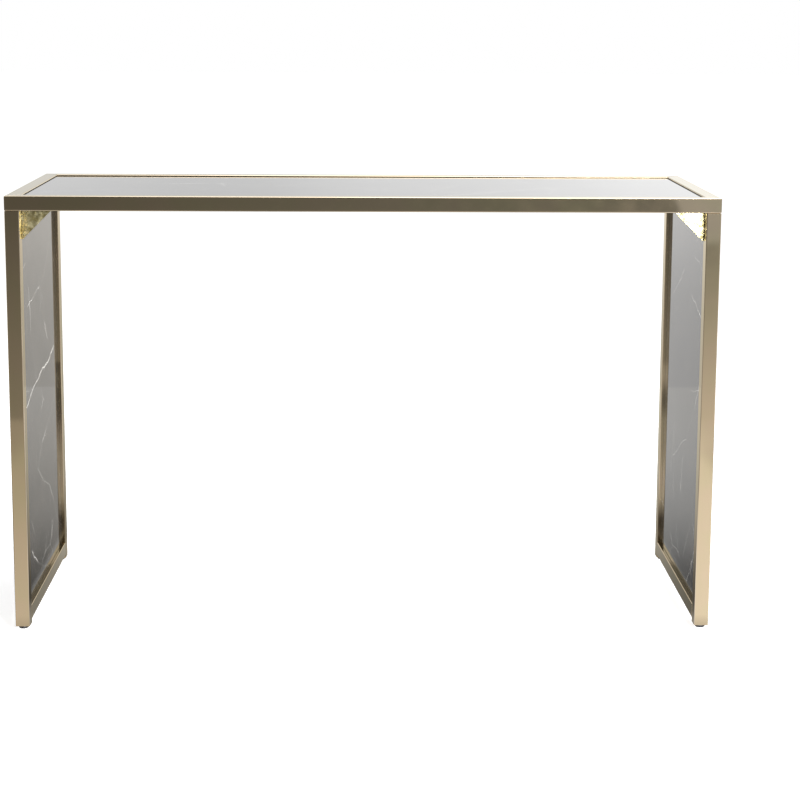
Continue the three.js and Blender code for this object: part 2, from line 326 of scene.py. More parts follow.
def blackMarble(slab, flat):
    # polished black marble: near-black ground with slow grey clouds, crossed by thin white calcite
    # veins that run straight through the slab, along its flat axis
    material, tree, shader = newMaterial(f"polished black marble, {slab}")
    look = stoneLook
    objectPlace = addNode(tree, "ShaderNodeTexCoord").outputs["Object"]
    through = Vector([0.0 if axis == flat else 1.0 for axis in range(3)])
    place = addNode(tree, "ShaderNodeVectorMath", {0: objectPlace, 1: through},
                    operation="MULTIPLY").outputs[0]
    seeded = addNode(tree, "ShaderNodeVectorMath", {0: place, 1: (look["seed"][slab],) * 3},
                     operation="ADD").outputs[0]
    for size, push in look["warp"]:
        noise = addNode(tree, "ShaderNodeTexNoise", {"Vector": seeded, "Scale": 1 / size})
        centred = addNode(tree, "ShaderNodeVectorMath", {
            0: noise.outputs["Color"], 1: (0.5, 0.5, 0.5)}, operation="SUBTRACT").outputs[0]
        place = addNode(tree, "ShaderNodeVectorMath", {
            0: centred, 1: push * through, 2: place}, operation="MULTIPLY_ADD").outputs[0]

    breakUp = addNode(tree, "ShaderNodeTexNoise", {
        "Vector": seeded, "Scale": 1 / look["breakUp"], "Detail": 3.0})
    thickness = addNode(tree, "ShaderNodeMapRange", {
        "Value": breakUp.outputs["Fac"], fromEnds: look["breakUpEnds"], toEnds: look["thickness"]})
    cells = addNode(tree, "ShaderNodeTexVoronoi", {"Vector": place, "Scale": 1 / look["cell"]},
                    feature="DISTANCE_TO_EDGE")
    net = addNode(tree, "ShaderNodeMapRange", {
        "Value": cells.outputs["Distance"], fromEnds: (0.0, look["netWidth"] / look["cell"]),
        toEnds: (look["netStrength"], 0.0)})
    patches = addNode(tree, "ShaderNodeTexNoise", {
        "Vector": seeded, "Scale": 1 / look["netPatch"], "Detail": 1.0})
    kept = addNode(tree, "ShaderNodeMapRange", {
        "Value": patches.outputs["Fac"], fromEnds: look["netShare"]})
    total = addNode(tree, "ShaderNodeMath", {0: net.outputs["Result"], 1: kept.outputs["Result"]},
                    operation="MULTIPLY").outputs[0]
    first, second = [axis for axis in range(3) if axis != flat]
    for u0, v0, u1, v1, width, strength in boldVeins[slab]:
        ends = [Vector(), Vector()]
        for point, (u, v) in zip(ends, ((u0, v0), (u1, v1))):
            point[first], point[second] = u * mm, v * mm
        mark = veinMark(tree, place, (*ends, width * mm, strength), thickness.outputs["Result"])
        total = addNode(tree, "ShaderNodeMath", {0: total, 1: mark}, operation="MAXIMUM").outputs[0]

    clouds = addNode(tree, "ShaderNodeTexNoise", {
        "Vector": place, "Scale": 1 / look["cloud"], "Detail": 6.0, "Roughness": 0.62})
    grain = addNode(tree, "ShaderNodeTexNoise", {"Vector": objectPlace, "Scale": 1 / look["grain"]})
    cloudShare = addNode(tree, "ShaderNodeMath", {
        0: clouds.outputs["Fac"], 1: look["cloudShare"]}, operation="MULTIPLY")
    shade = addNode(tree, "ShaderNodeMath", {
        0: grain.outputs["Fac"], 1: look["grainShare"], 2: cloudShare.outputs[0]},
        operation="MULTIPLY_ADD")
    ground = addNode(tree, "ShaderNodeValToRGB", {"Fac": shade.outputs[0]})
    fillRamp(ground, look["groundEnds"], (look["dark"], look["light"]))
    mixed = addNode(tree, "ShaderNodeMix", {
        "Factor": total, "A": ground.outputs["Color"], "B": hexColor(look["vein"])},
        data_type="RGBA")
    haze = addNode(tree, "ShaderNodeTexNoise", {
        "Vector": objectPlace, "Scale": 1 / look["haze"], "Detail": 3.0})
    polish = addNode(tree, "ShaderNodeMapRange", {
        "Value": haze.outputs["Fac"], fromEnds: look["hazeEnds"], toEnds: look["roughness"]})
    gloss = addNode(tree, "ShaderNodeMath", {
        0: total, 1: look["veinRoughness"], 2: polish.outputs["Result"]},
        operation="MULTIPLY_ADD")
    setInputs(tree, shader, {
        "Base Color": mixed.outputs["Result"], "Roughness": gloss.outputs[0], "IOR": 1.5})
    return material


stones = {slab: blackMarble(slab, flat) for slab, flat in (("top", 2), ("left", 0), ("right", 0))}


boardLook = {
    "colors": ("#6f5234", "#a68761"),
    "toneEnds": (0.3, 0.72),
    "fibre": 3 * mm,
    "squeeze": (1.0, 4.0, 1.0),      # the fibres lie along x
    "height": 0.15 * mm,
    "roughness": 0.85,
}


def fibreBoard():
    # raw medium-density fibreboard: matte brown felt of short fibres
    material, tree, shader = newMaterial("raw fibreboard")
    place = addNode(tree, "ShaderNodeTexCoord").outputs["Object"]
    stretched = addNode(tree, "ShaderNodeMapping", {"Vector": place, "Scale": boardLook["squeeze"]})
    fibres = addNode(tree, "ShaderNodeTexNoise", {
        "Vector": stretched.outputs["Vector"], "Scale": 1 / boardLook["fibre"],
        "Detail": 5.0, "Roughness": 0.7}).outputs["Fac"]
    tone = addNode(tree, "ShaderNodeValToRGB", {"Fac": fibres})
    fillRamp(tone, boardLook["toneEnds"], boardLook["colors"])
    bump = addNode(tree, "ShaderNodeBump", {
        "Height": fibres, "Distance": boardLook["height"], "Strength": 0.6})
    setInputs(tree, shader, {
        "Base Color": tone.outputs["Color"], "Normal": bump.outputs["Normal"],
        "Roughness": boardLook["roughness"]})
    return material


grainLook = {"toneEnds": (0.35, 0.65), "glossEnds": (0.3, 0.7), "glossChange": 0.08, "bump": 0.8}

# dark and light colour, middle roughness, size of the grain, its height, and 1 for a metal
plainLooks = {
    "moulded black nylon": ("#0f0f10", "#1c1c1d", 0.42, 0.5 * mm, 0.03 * mm, 0),
    "closed-cell rubber": ("#161616", "#242424", 0.85, 0.8 * mm, 0.1 * mm, 0),
    "black silicone sealant": ("#0b0b0c", "#151516", 0.8, 2 * mm, 0.1 * mm, 0),
    "bright zinc plated steel": ("#a4a9ad", "#c9cccd", 0.32, 2.5 * mm, 0, 1),
}


def grainedFinish(name, dark, light, roughness, grainSize, grainHeight, metallic):
    # moulded nylon, rubber and sealant have an even colour with a fine grain or pores; zinc on
    # steel has no relief, and its crystals make it bluish grey and slightly cloudy
    material, tree, shader = newMaterial(name)
    place = addNode(tree, "ShaderNodeTexCoord").outputs["Object"]
    grain = addNode(tree, "ShaderNodeTexNoise", {
        "Vector": place, "Scale": 1 / grainSize, "Detail": 3.0, "Roughness": 0.6}).outputs["Fac"]
    share = addNode(tree, "ShaderNodeMapRange", {"Value": grain, fromEnds: grainLook["toneEnds"]})
    tone = addNode(tree, "ShaderNodeMix", {
        "Factor": share.outputs["Result"], "A": hexColor(dark), "B": hexColor(light)},
        data_type="RGBA")
    change = grainLook["glossChange"]
    gloss = addNode(tree, "ShaderNodeMapRange", {
        "Value": grain, fromEnds: grainLook["glossEnds"],
        toEnds: (roughness - change, roughness + change)})
    setInputs(tree, shader, {
        "Base Color": tone.outputs["Result"], "Roughness": gloss.outputs["Result"],
        "Metallic": metallic})
    if grainHeight:
        bump = addNode(tree, "ShaderNodeBump", {
            "Height": grain, "Distance": grainHeight, "Strength": grainLook["bump"]})
        tree.links.new(bump.outputs["Normal"], shader.inputs["Normal"])
    return material


board = fibreBoard()
nylon, rubber, silicone, zinc = [grainedFinish(name, *look) for name, look in plainLooks.items()]
print("materials:", len(bpy.data.materials))


tubeShape = {"wall": 1.5 * mm, "corner": 1.8 * mm, "steps": 6, "endRound": 0.25 * mm}


def roundedSquare(size, radius, steps):
    # points round a square with round corners: (u, v, strength of the painted corner highlight, which
    # grows into a corner's arc and is greatest at its middle)
    points = []
    for quarter in range(4):
        angle = math.pi / 2 * quarter
        centre = Vector((1, 1)) * (size / 2 - radius)
        centre.rotate(Matrix.Rotation(angle, 2))
        for step in range(steps + 1):
            turn = angle + math.pi / 2 * step / steps
            highlightShare = math.sin(math.pi * step / steps)
            points.append((centre.x + radius * math.cos(turn), centre.y + radius * math.sin(turn), highlightShare))
    return points


def tubeMesh(name, low, high, axis, longSide=None):
    # axis: the tube's length, 0 to 2. longSide: for mitred ends, the direction of its longer side.
    across = [i for i in range(3) if i != axis]
    size = high[across[0]] - low[across[0]]
    centre = [(low[i] + high[i]) / 2 for i in range(3)]
    bm = bmesh.new()
    # each point's share of the painted highlight on the round corners
    highlightLayer = bm.verts.layers.float.new("cornerHighlight")
    outer = roundedSquare(size, tubeShape["corner"], tubeShape["steps"])
    inner = roundedSquare(size - 2 * tubeShape["wall"], tubeShape["corner"] / 2, tubeShape["steps"])

    def ring(points, end):
        made = []
        for u, v, highlightShare in points:
            place = list(centre)
            place[across[0]] += u
            place[across[1]] += v
            place[axis] = high[axis] if end > 0 else low[axis]
            if longSide is not None:
                offset = Vector(place) - Vector(centre)
                offset[axis] = 0
                place[axis] -= end * (size / 2 - offset.dot(longSide))
            vert = bm.verts.new(place)
            vert[highlightLayer] = highlightShare
            made.append(vert)
        return made

    rings = [ring(points, end) for points in (outer, inner) for end in (-1, 1)]
    joinRings(bm, [(rings[i], rings[j]) for i, j in ((0, 1), (2, 3), (0, 2), (1, 3))])
    return toMesh(bm, name)


def addTubes():
    edges = softEdges(tubeShape["endRound"], 2, 50)
    rails = {
        "top_front_rail": (0, Vector((0, -1, 0))),
        "top_back_rail": (0, Vector((0, 1, 0))),
        "top_left_rail": (1, Vector((-1, 0, 0))),
        "top_right_rail": (1, Vector((1, 0, 0))),
        "bottom_rail_left": (1, None),
        "bottom_rail_right": (1, None),
    }
    for end, side in corners:
        rails[f"leg_{end}_{side}"] = (2, None)
    for node, (axis, longSide) in rails.items():
        low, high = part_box(node)
        mesh = tubeMesh(node, low, high, axis, longSide)
        addPiece("tube_" + node, mesh, champagne, "table", [node], edges)
    print("tubes:", len(rails))


addTubes()


slabShape = {"inset": 0.2 * mm, "arris": 0.8 * mm, "steps": 3}
sealShape = {"below": 0.45 * mm, "deep": 2.2 * mm, "dish": 0.25 * mm}


def addTopSlab():
    low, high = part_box("top_stone_panel")
    inset = Vector((slabShape["inset"], slabShape["inset"], 0))
    bm = bmesh.new()
    bmesh.ops.create_cube(bm, size=1)
    for vert in bm.verts:
        vert.co = Vector([(high - inset)[i] if vert.co[i] > 0 else (low + inset)[i] for i in range(3)])
    addPiece("slab_top", toMesh(bm, "slab_top"), stones["top"], "table",
             ["top_stone_panel"], softEdges(slabShape["arris"], slabShape["steps"]))


def addSeal():
    # the sealant between the top slab and the frame: a ring, slightly dished on top
    low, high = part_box("top_stone_panel")
    gap = low.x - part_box("top_left_rail")[1].x
    inner = [(low[i] + slabShape["inset"], high[i] - slabShape["inset"]) for i in (0, 1)]
    outer = [(low[i] - gap, high[i] + gap) for i in (0, 1)]
    top = high.z - sealShape["below"]
    bm = bmesh.new()

    def ring(share, z):
        sides = [[a[e] + (b[e] - a[e]) * share for e in (0, 1)] for a, b in zip(inner, outer)]
        return [bm.verts.new((sides[0][i], sides[1][j], z)) for i, j in ((0, 0), (1, 0), (1, 1), (0, 1))]

    rings = [ring(0, top), ring(0.5, top - sealShape["dish"]), ring(1, top),
             ring(1, top - sealShape["deep"]), ring(0, top - sealShape["deep"])]
    joinRings(bm, zip(rings, rings[1:] + rings[:1]))
    addPiece("topSeal", toMesh(bm, "topSeal"), silicone, "table")


addTopSlab()
addSeal()


# the rounding of the edges of the plain pieces, which are the CAD's shapes
edgeRound = {"bar": 0.4 * mm, "plastic": 0.5 * mm, "board": 0.4 * mm, "bracket": 0.6 * mm}


def mergedMesh(node):
    bm = bmesh.new()
    bm.from_mesh(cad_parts[node].data)
    bmesh.ops.remove_doubles(bm, verts=bm.verts, dist=0.001 * mm)
    bmesh.ops.dissolve_limit(bm, angle_limit=math.radians(1), verts=bm.verts, edges=bm.edges)
    return toMesh(bm, "merged_" + node)


def addRefined(nodes, material, width, segments=2, angle=40):
    for node in nodes:
        addPiece("piece_" + node, mergedMesh(node), material, "table", [node],
                 softEdges(width, segments, angle))


def addBars():
    bars = [f"top_ledge_{place}" for place in ("front", "back", "left", "right")]
    bars += [f"top_crossbar_{side}" for side in sideSign]
    bars += [f"panel_tongue_{place}_{side}" for place in ("front", "back", "bottom") for side in sideSign]
    addRefined(bars, champagne, edgeRound["bar"])
    for side in sideSign:
        addRefined([f"side_stone_panel_{side}"], stones[side], slabShape["arris"],
                   slabShape["steps"])
    addRefined(["top_backing_board"], board, edgeRound["board"])
    addRefined([f"panel_cushion_{side}" for side in sideSign], rubber, edgeRound["plastic"])
    addRefined([f"leg_plug_{end}_{side}" for end, side in corners], nylon,
               edgeRound["plastic"])
    addRefined([f"corner_bracket_{end}_{side}" for end, side in corners], hammered,
               edgeRound["bracket"], 3)
    addRefined([f"weld_nut_{end}_{side}" for end, side in corners], zinc, edgeRound["bar"])


addBars()
print("stone slabs, bars, board, plugs and brackets made")


def newNodes(name, sockets):
    # sockets: name, kind and starting value of each input
    tree = bpy.data.node_groups.new(name, "GeometryNodeTree")
    tree.interface.new_socket("Geometry", in_out="INPUT", socket_type="NodeSocketGeometry")
    for label, kind, value in sockets:
        socket = tree.interface.new_socket(label, in_out="INPUT", socket_type="NodeSocket" + kind)
        if value is not None:
            socket.default_value = value
    tree.interface.new_socket("Geometry", in_out="OUTPUT", socket_type="NodeSocketGeometry")
    return tree, addNode(tree, "NodeGroupInput").outputs, addNode(tree, "NodeGroupOutput")


def endNodes(tree, given, output, spreading, smooth=False):
    # spreading: the points, the part that stands on each, and its scale if that changes
    spread = addNode(tree, "GeometryNodeInstanceOnPoints", spreading)
    real = addNode(tree, "GeometryNodeRealizeInstances", {"Geometry": spread.outputs[0]})
    shaded = addNode(tree, "GeometryNodeSetShadeSmooth", {
        "Geometry": real.outputs[0], "Shade Smooth": smooth})
    painted = addNode(tree, "GeometryNodeSetMaterial", {
        "Geometry": shaded.outputs[0], "Material": given["Material"]})
    tree.links.new(painted.outputs[0], output.inputs["Geometry"])


def runNodes(tree, points, edges, values, name):
    # a base of points or edges goes through the nodes and comes back as a plain mesh
    base = bpy.data.meshes.new(name + "Base")
    base.from_pydata([tuple(p) for p in points], edges, [])
    holder = newObject(name + "Base", base)
    modifier = holder.modifiers.new("nodes", "NODES")
    modifier.node_group = tree
    for item in tree.interface.items_tree:
        if item.in_out == "INPUT" and item.name in values:
            modifier[item.identifier] = values[item.name]
    bpy.context.view_layer.update()
    done = holder.evaluated_get(bpy.context.evaluated_depsgraph_get())
    mesh = bpy.data.meshes.new_from_object(done)
    mesh.name = name
    holder.modifiers.remove(modifier)
    bpy.data.objects.remove(holder)
    return mesh


screwShape = {
    "head": 3.6 * mm,
    "height": 1.9 * mm,
    "slot": 0.9 * mm,
    "slotDeep": 1.1 * mm,
    "slotLong": 1.15,                # times the head's radius
    "fromEnds": 50 * mm,             # on the bars that run front to back
    "along": 190 * mm,
}


def screwNodes():
    # pan-head screws, head down, with a cross recess
    tree, given, output = newNodes("panHeadScrews", [
        ("Head radius", "Float", screwShape["head"]),
        ("Head height", "Float", screwShape["height"]),
        ("Slot width", "Float", screwShape["slot"]),
        ("Slot depth", "Float", screwShape["slotDeep"]),
        ("Material", "Material", None),
    ])
    radius, height = given["Head radius"], given["Head height"]
    ball = addNode(tree, "GeometryNodeMeshUVSphere", {
        "Segments": 24, "Rings": 12, "Radius": radius}).outputs["Mesh"]
    flat = addNode(tree, "ShaderNodeMath", {0: height, 1: radius}, operation="DIVIDE").outputs[0]
    scale = addNode(tree, "ShaderNodeCombineXYZ", {"X": 1.0, "Y": 1.0, "Z": flat}).outputs[0]
    dome = addNode(tree, "GeometryNodeTransform", {"Geometry": ball, "Scale": scale}).outputs[0]
    length, depth, drop = [
        addNode(tree, "ShaderNodeMath", {0: value, 1: times}, operation="MULTIPLY").outputs[0]
        for value, times in ((radius, screwShape["slotLong"]), (given["Slot depth"], 2.0), (height, -1.0))]
    down = addNode(tree, "ShaderNodeCombineXYZ", {"Z": drop}).outputs[0]
    size = addNode(tree, "ShaderNodeCombineXYZ", {
        "X": length, "Y": given["Slot width"], "Z": depth}).outputs[0]
    bar = addNode(tree, "GeometryNodeMeshCube", {"Size": size}).outputs["Mesh"]
    cuts = [addNode(tree, "GeometryNodeTransform", {
        "Geometry": bar, "Translation": down, "Rotation": (0, 0, turn)}).outputs[0]
        for turn in (0, math.pi / 2)]
    recess = addNode(tree, "GeometryNodeMeshBoolean", {"Mesh 1": dome, "Mesh 2": cuts},
                     operation="DIFFERENCE")
    endNodes(tree, given, output, {
        "Points": given["Geometry"], "Instance": recess.outputs["Mesh"]})
    return tree


def addScrews():
    points = []
    low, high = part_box("top_ledge_front")
    y = (low.y + high.y) / 2
    count = int((high.x - low.x) / screwShape["along"])
    start = -screwShape["along"] * (count - 1) / 2
    for sy in (1, -1):
        points += [(start + i * screwShape["along"], sy * y, low.z) for i in range(count)]
    for node in ("top_ledge_left", "top_ledge_right", "top_crossbar_left", "top_crossbar_right"):
        low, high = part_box(node)
        x = (low.x + high.x) / 2
        reach = (high.y - low.y) / 2 - screwShape["fromEnds"]
        points += [(x, place, low.z) for place in (-reach, reach)]
    mesh = runNodes(screwNodes(), points, [], {"Material": zinc}, "boardScrews")
    addPiece("boardScrews", mesh, None, "table")


boltShape = {"head": 5.8 * mm, "headHigh": 4 * mm, "shank": 3 * mm, "shankLong": 12 * mm,
             "washer": 6.6 * mm, "washerHigh": 0.9 * mm, "chamfer": 0.6 * mm}


def boltNodes():
    # hexagon flange bolts, head down
    tree, given, output = newNodes("flangeBolts", [
        ("Head radius", "Float", boltShape["head"]),
        ("Head height", "Float", boltShape["headHigh"]),
        ("Shank radius", "Float", boltShape["shank"]),
        ("Shank length", "Float", boltShape["shankLong"]),
        ("Material", "Material", None),
    ])
    chamfer, washerHigh = boltShape["chamfer"], boltShape["washerHigh"]
    headRadius, headHigh = given["Head radius"], given["Head height"]
    body = addNode(tree, "ShaderNodeMath", {0: headHigh, 1: chamfer + washerHigh},
                   operation="SUBTRACT").outputs[0]
    middle = addNode(tree, "ShaderNodeMath", {0: body, 1: -0.5, 2: -washerHigh},
                     operation="MULTIPLY_ADD").outputs[0]
    tip = addNode(tree, "ShaderNodeMath", {0: headRadius, 1: chamfer}, operation="SUBTRACT").outputs[0]
    drop = addNode(tree, "ShaderNodeMath", {0: headHigh, 1: -1.0}, operation="MULTIPLY").outputs[0]
    half = addNode(tree, "ShaderNodeMath", {0: given["Shank length"], 1: 0.5},
                   operation="MULTIPLY").outputs[0]
    hexagon = addNode(tree, "GeometryNodeMeshCylinder", {
        "Vertices": 6, "Radius": headRadius, "Depth": body}).outputs["Mesh"]
    cap = addNode(tree, "GeometryNodeMeshCone", {
        "Vertices": 6, "Radius Top": headRadius, "Radius Bottom": tip,
        "Depth": chamfer}).outputs["Mesh"]
    washer = addNode(tree, "GeometryNodeMeshCone", {
        "Vertices": 32, "Radius Top": boltShape["washer"],
        "Radius Bottom": boltShape["washer"] - chamfer, "Depth": washerHigh}).outputs["Mesh"]
    shank = addNode(tree, "GeometryNodeMeshCylinder", {
        "Vertices": 24, "Radius": given["Shank radius"],
        "Depth": given["Shank length"]}).outputs["Mesh"]
    parts = []
    for part, height in ((hexagon, middle), (cap, drop), (washer, -washerHigh), (shank, half)):
        place = addNode(tree, "ShaderNodeCombineXYZ", {"Z": height}).outputs[0]
        parts.append(addNode(tree, "GeometryNodeTransform", {
            "Geometry": part, "Translation": place}).outputs[0])
    bolt = addNode(tree, "GeometryNodeJoinGeometry", {0: parts}).outputs[0]
    endNodes(tree, given, output, {"Points": given["Geometry"], "Instance": bolt})
    return tree


def addBolts():
    nodes = [f"bracket_bolt_{end}_{side}" for end, side in corners]
    points = []
    for node in nodes:
        low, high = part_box(node)
        points.append(((low.x + high.x) / 2, (low.y + high.y) / 2, low.z + boltShape["headHigh"]))
    mesh = runNodes(boltNodes(), points, [], {"Material": zinc}, "bracketBolts")
    addPiece("bracketBolts", mesh, None, "table", nodes)


weldShape = {
    "radius": 1.1 * mm,
    "pitch": 1.2 * mm,
    "uneven": (0.88, 1.08),          # smallest and largest ripple, times the radius
    "seed": 4,
    "long": 9 * mm,
    "web": 3.5 * mm,                 # thickness of the bracket's web, behind which the stitches lie
    "stitches": (0.2, 0.55, 0.85),   # their places, as shares of the web's height
}


def weldNodes():
    # a run of overlapping ripples along each edge of the base
    tree, given, output = newNodes("weldRuns", [
        ("Radius", "Float", weldShape["radius"]),
        ("Pitch", "Float", weldShape["pitch"]),
        ("Seed", "Int", weldShape["seed"]),
        ("Material", "Material", None),
    ])
    curve = addNode(tree, "GeometryNodeMeshToCurve", {"Mesh": given["Geometry"]}).outputs["Curve"]
    points = addNode(tree, "GeometryNodeCurveToPoints", {"Curve": curve, "Length": given["Pitch"]},
                     mode="LENGTH").outputs["Points"]
    ripple = addNode(tree, "GeometryNodeMeshUVSphere", {
        "Segments": 16, "Rings": 10, "Radius": given["Radius"]}).outputs["Mesh"]
    least, most = weldShape["uneven"]
    size = addNode(tree, "FunctionNodeRandomValue", {
        "Min": least, "Max": most, "Seed": given["Seed"]}, data_type="FLOAT")
    scale = [o for o in size.outputs if o.enabled][0]
    endNodes(tree, given, output, {"Points": points, "Instance": ripple, "Scale": scale}, True)
    return tree


def addWelds():
    # short stitches behind each bracket's web, along its joint with the leg
    points, edges = [], []
    for end, side in corners:
        low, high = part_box(f"corner_bracket_{end}_{side}")
        x = low.x if side == "left" else high.x
        y = low.y + weldShape["web"] if end == "front" else high.y - weldShape["web"]
        for share in weldShape["stitches"]:
            middle = low.z + (high.z - low.z) * share
            points += [(x, y, middle - weldShape["long"] / 2), (x, y, middle + weldShape["long"] / 2)]
            edges.append((len(points) - 2, len(points) - 1))
    mesh = runNodes(weldNodes(), points, edges, {"Material": champagne}, "bracketWelds")
    addPiece("bracketWelds", mesh, None, "table")


addScrews()
addBolts()
addWelds()
print("screws, bolts and welds made")


glideShape = {
    # the pad's outline, radius and height in millimetres
    "profile": ((0, 0), (6.3, 0), (7.4, 0.25), (8.2, 0.9), (8.5, 1.8), (8.5, 3.4), (8.2, 4.1),
                (7.5, 4.5), (5.6, 4.7), (5.3, 4.9), (5.3, 5.6), (4.3, 5.6), (4.3, 2.6), (0, 2.6)),
    "steps": 48,
    "ribs": 24,
    "ribRadius": 0.3 * mm,
    "ribLow": 1.7 * mm,
    "ribHigh": 3.4 * mm,
    "pitch": 1.25 * mm,
    "threadDeep": 0.6 * mm,
    "threadSteps": 24,
    "ringsPerPitch": 8,
}


def addRing(bm, centre, radii, z):
    # one level of a round piece, with a radius for each of its points
    turns = [2 * math.pi * i / len(radii) for i in range(len(radii))]
    return [bm.verts.new((centre.x + r * math.cos(turn), centre.y + r * math.sin(turn), z))
            for r, turn in zip(radii, turns)]


def turnedPad(centre):
    bm = bmesh.new()
    rings = []
    for radius, z in glideShape["profile"]:
        count = glideShape["steps"] if radius else 1
        rings.append(addRing(bm, centre, [radius * mm] * count, z * mm))
    joinRings(bm, zip(rings, rings[1:]))
    return bm


def ribNodes():
    # upright grip ribs round the pad
    tree, given, output = newNodes("gripRibs", [
        ("Count", "Int", glideShape["ribs"]),
        ("Pad radius", "Float", max(radius for radius, z in glideShape["profile"]) * mm),
        ("Rib radius", "Float", glideShape["ribRadius"]),
        ("Rib length", "Float", glideShape["ribHigh"] - glideShape["ribLow"]),
        ("Material", "Material", None),
    ])
    circle = addNode(tree, "GeometryNodeMeshCircle", {
        "Vertices": given["Count"], "Radius": given["Pad radius"]}).outputs["Mesh"]
    rib = addNode(tree, "GeometryNodeMeshCylinder", {
        "Vertices": 10, "Radius": given["Rib radius"], "Depth": given["Rib length"]}).outputs["Mesh"]
    around = addNode(tree, "GeometryNodeInstanceOnPoints", {"Points": circle, "Instance": rib})
    endNodes(tree, given, output, {"Points": given["Geometry"], "Instance": around.outputs[0]})
    return tree


def threadedStem(name, centre, low, high, radius):
    # a rolled thread: the radius follows a helix of ridges, and fades out at both ends
    steps, pitch = glideShape["threadSteps"], glideShape["pitch"]
    count = int((high - low) / (pitch / glideShape["ringsPerPitch"]))
    bm = bmesh.new()
    rings = []
    for k in range(count + 1):
        z = low + (high - low) * k / count
        fade = min(1, (z - low) / pitch, (high - z) / pitch)
        radii = []
        for i in range(steps):
            phase = ((z - low) / pitch - i / steps) % 1
            groove = abs(2 * phase - 1)
            radii.append(radius - glideShape["threadDeep"] * (groove * fade + 1 - fade))
        rings.append(addRing(bm, centre, radii, z))
    joinRings(bm, zip(rings, rings[1:]))
    for ring in (rings[0], rings[-1]):
        bm.faces.new(ring)
    return toMesh(bm, name, 60)


def addGlides():
    ribs = ribNodes()
    for end, side in corners:
        tag = f"{end}_{side}"
        low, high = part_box(f"glide_pad_{tag}")
        centre = (low + high) / 2
        pad = turnedPad(centre)
        middle = (centre.x, centre.y, (glideShape["ribLow"] + glideShape["ribHigh"]) / 2)
        ribMesh = runNodes(ribs, [middle], [], {"Material": nylon}, f"ribs_{tag}")
        addPiece(f"glideRibs_{tag}", ribMesh, None, f"glide_{tag}")
        addPiece(f"glidePad_{tag}", toMesh(pad, f"pad_{tag}"), nylon, f"glide_{tag}",
                 [f"glide_pad_{tag}"])
        low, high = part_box(f"glide_stem_{tag}")
        stem = threadedStem(f"stem_{tag}", centre, low.z, high.z, (high.x - low.x) / 2)
        addPiece(f"glideStem_{tag}", stem, zinc, f"glide_{tag}", [f"glide_stem_{tag}"])
    print("glides made")


addGlides()


cameraPlace = {
    "lens": 87.8,
    "sensor": 36,
    "place": (-17.3 * mm, -3532.4 * mm, 1077 * mm),
    "down": math.radians(9.51),
    "right": math.radians(1.37),
    "roll": math.radians(0.33),
    "shift": -0.08,
    "farthest": 100,
}


def addCamera():
    data = bpy.data.cameras.new("camera")
    data.lens = cameraPlace["lens"]
    data.sensor_width = cameraPlace["sensor"]
    data.shift_y = cameraPlace["shift"]
    data.clip_end = cameraPlace["farthest"]
    camera = newObject("camera", data)
    down, right = cameraPlace["down"], cameraPlace["right"]
    forward = Vector((math.sin(right) * math.cos(down), math.cos(right) * math.cos(down), -math.sin(down)))
    level = Vector((math.cos(right), -math.sin(right), 0))
    turn = Matrix((level, level.cross(forward), -forward)).transposed()
    turn = Matrix.Rotation(cameraPlace["roll"], 3, -forward) @ turn
    camera.matrix_world = Matrix.Translation(cameraPlace["place"]) @ turn.to_4x4()
    bpy.context.scene.camera = camera


def addSheet(name, corners, material):
    mesh = bpy.data.meshes.new(name)
    mesh.from_pydata(corners, [], [(0, 1, 2, 3)])
    mesh.materials.append(material)
    sheet = newObject(name, mesh)
    return sheet


def levelCorners(half, z):
    return [(-half, -half, z), (half, -half, z), (half, half, z), (-half, half, z)]


def uprightCorners(half, y, high):
    return [(-half, y, 0), (half, y, 0), (half, y, high), (-half, y, high)]


floorLook = {
    "half": 30,
    "drop": 10.5 * mm,           # just under the glides at their lowest, so that none is buried
    "shade": 0.7,
    "roughness": 0.9,
    "glow": (0.66, 0.84),        # near the table and far from it, where it meets the white backdrop
    "reach": (1.0, 3.0),         # where the glow starts to rise and where it is full
}


def addFloor():
    look = floorLook
    material, tree, shader = newMaterial("pale studio floor")
    place = addNode(tree, "ShaderNodeTexCoord").outputs["Object"]
    away = addNode(tree, "ShaderNodeVectorMath", {0: place}, operation="LENGTH").outputs["Value"]
    glow = addNode(tree, "ShaderNodeMapRange", {
        "Value": away, fromEnds: look["reach"], toEnds: look["glow"]})
    setInputs(tree, shader, {
        "Base Color": (look["shade"], look["shade"], look["shade"], 1),
        "Roughness": look["roughness"], "Specular IOR Level": 0.0,
        "Emission Color": (1, 1, 1, 1), "Emission Strength": glow.outputs["Result"]})
    floor = addSheet("floor", levelCorners(look["half"], -look["drop"]), material)
    floor.visible_glossy = False


def onlyMirrored(card):
    # a studio card that the polished surfaces mirror, and that neither lights nor shows
    card.visible_camera = False
    card.visible_diffuse = False
    card.visible_shadow = False
    card.visible_transmission = False


def opaque(colors):
    return [(*color, 1.0) for color in colors]


